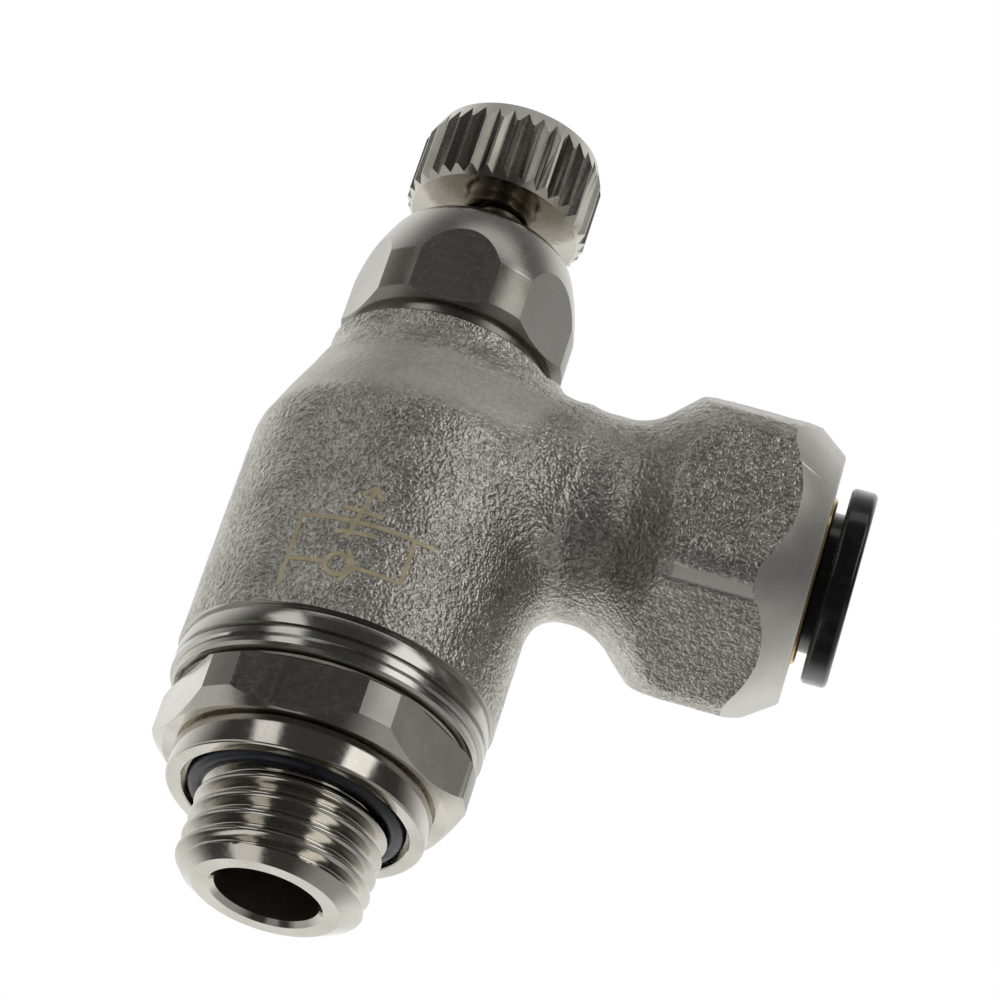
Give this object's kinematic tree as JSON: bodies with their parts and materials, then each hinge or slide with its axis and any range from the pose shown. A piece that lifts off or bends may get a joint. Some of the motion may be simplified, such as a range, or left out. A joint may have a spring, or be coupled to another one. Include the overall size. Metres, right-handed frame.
{
  "type": "flow control valve",
  "caption": "One-way air flow regulator: threaded port stud, swivelling forged body with push-in tube branch, domed bonnet and knurled needle knob.",
  "frame": {"origin": "centre of the underside of the bounding box: Z is zero on the free end of the port thread, Y is zero on the valve axis, X is zero midway between the back of the barrel and the release button's outer face; the valve axis stands at X = -10.25 mm", "axes": "+Z along the valve axis from the port thread to the knob, +X along the tube branch towards the tube entry"},
  "size_m": [0.0426, 0.022, 0.0618],
  "materials": {
    "port_stud": "bright nickel plate on turned brass",
    "bonnet": "bright nickel plate on turned brass",
    "knob": "bright nickel plate, straight knurl",
    "swivel_body": "satin nickel plate on a blasted brass forging",
    "needle_screw": "turned and threaded",
    "needle_stop_ring": "spring steel",
    "lip_seal_clip": "spring steel",
    "gripping_collet": "stainless steel",
    "cartridge_ring": "turned brass",
    "metering_seat": "turned brass",
    "port_face_seal": "black nitrile",
    "lower_stem_seal": "black nitrile",
    "upper_stem_seal": "black nitrile",
    "bonnet_seal": "black nitrile",
    "needle_seal": "black nitrile",
    "check_lip_seal": "black nitrile",
    "tube_seal": "black nitrile",
    "thrust_washer": "low-friction polymer",
    "seal_spacer": "low-friction polymer",
    "release_button": "black moulded nylon"
  },
  "bodies": {
    "port": {"port_stud": "port_stud", "port_face_seal": "port_face_seal", "lower_stem_seal": "lower_stem_seal", "upper_stem_seal": "upper_stem_seal", "bonnet_seal": "bonnet_seal", "check_lip_seal": "check_lip_seal", "lip_seal_clip": "lip_seal_clip", "metering_seat": "metering_seat", "thrust_washer": "thrust_washer", "bonnet": "bonnet"},
    "seal_carriage": {"needle_seal": "needle_seal"},
    "needle": {"needle_screw": "needle_screw", "needle_stop_ring": "needle_stop_ring", "knob": "knob"},
    "housing": {"swivel_body": "swivel_body", "tube_seal": "tube_seal", "seal_spacer": "seal_spacer", "cartridge_ring": "cartridge_ring", "gripping_collet": "gripping_collet"},
    "button": {"release_button": "release_button"}
  },
  "joints": [
    {"name": "body_swivel", "type": "hinge", "parent": "port", "child": "housing", "pos_m": [-0.01025, 0, 0.0341], "axis": [0, 0, 1], "continuous": true},
    {"name": "needle_lift", "type": "slide", "parent": "port", "child": "seal_carriage", "axis": [0, 0, 1], "range_m": [-0.002, 0.0024]},
    {"name": "knob_turn", "type": "hinge", "parent": "seal_carriage", "child": "needle", "pos_m": [-0.01025, 0, 0.05524], "axis": [0, 0, 1], "range_deg": [-900, 1080]},
    {"name": "button_press", "type": "slide", "parent": "housing", "child": "button", "axis": [-1, 0, 0], "range_m": [0, 0.0006]}
  ],
  "couplings": [
    {"joint": "needle_lift", "follows": "knob_turn", "m_per_rad": 0.00012732}
  ]
}
